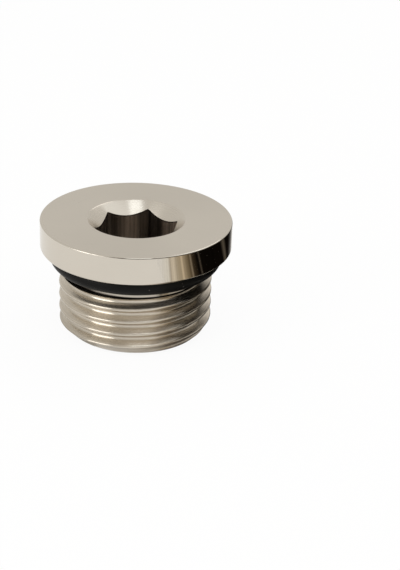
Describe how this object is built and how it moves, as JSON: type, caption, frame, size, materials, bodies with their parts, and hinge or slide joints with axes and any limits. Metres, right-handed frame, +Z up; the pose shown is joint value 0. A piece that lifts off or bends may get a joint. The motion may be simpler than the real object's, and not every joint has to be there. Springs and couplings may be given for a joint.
{
  "type": "hex socket plug",
  "caption": "Flanged screw plug that closes a threaded port: a countersunk hex socket in the flange, a rubber O-ring under it, and a male pipe thread with a blind, flat end.",
  "frame": {"origin": "centre of the blind end face, which the plug stands on", "axes": "+Z up the plug's axis from the threaded end to the flange, where the hex socket opens; -Y is the front, and the thread is right-handed"},
  "size_m": [0.026, 0.026, 0.0157],
  "materials": {
    "nickel_plate": "turned brass with bright, warm nickel plating",
    "black_rubber": "satin black nitrile rubber"
  },
  "bodies": {
    "root": {"plug_body": "nickel_plate", "o_ring": "black_rubber"}
  },
  "joints": []
}
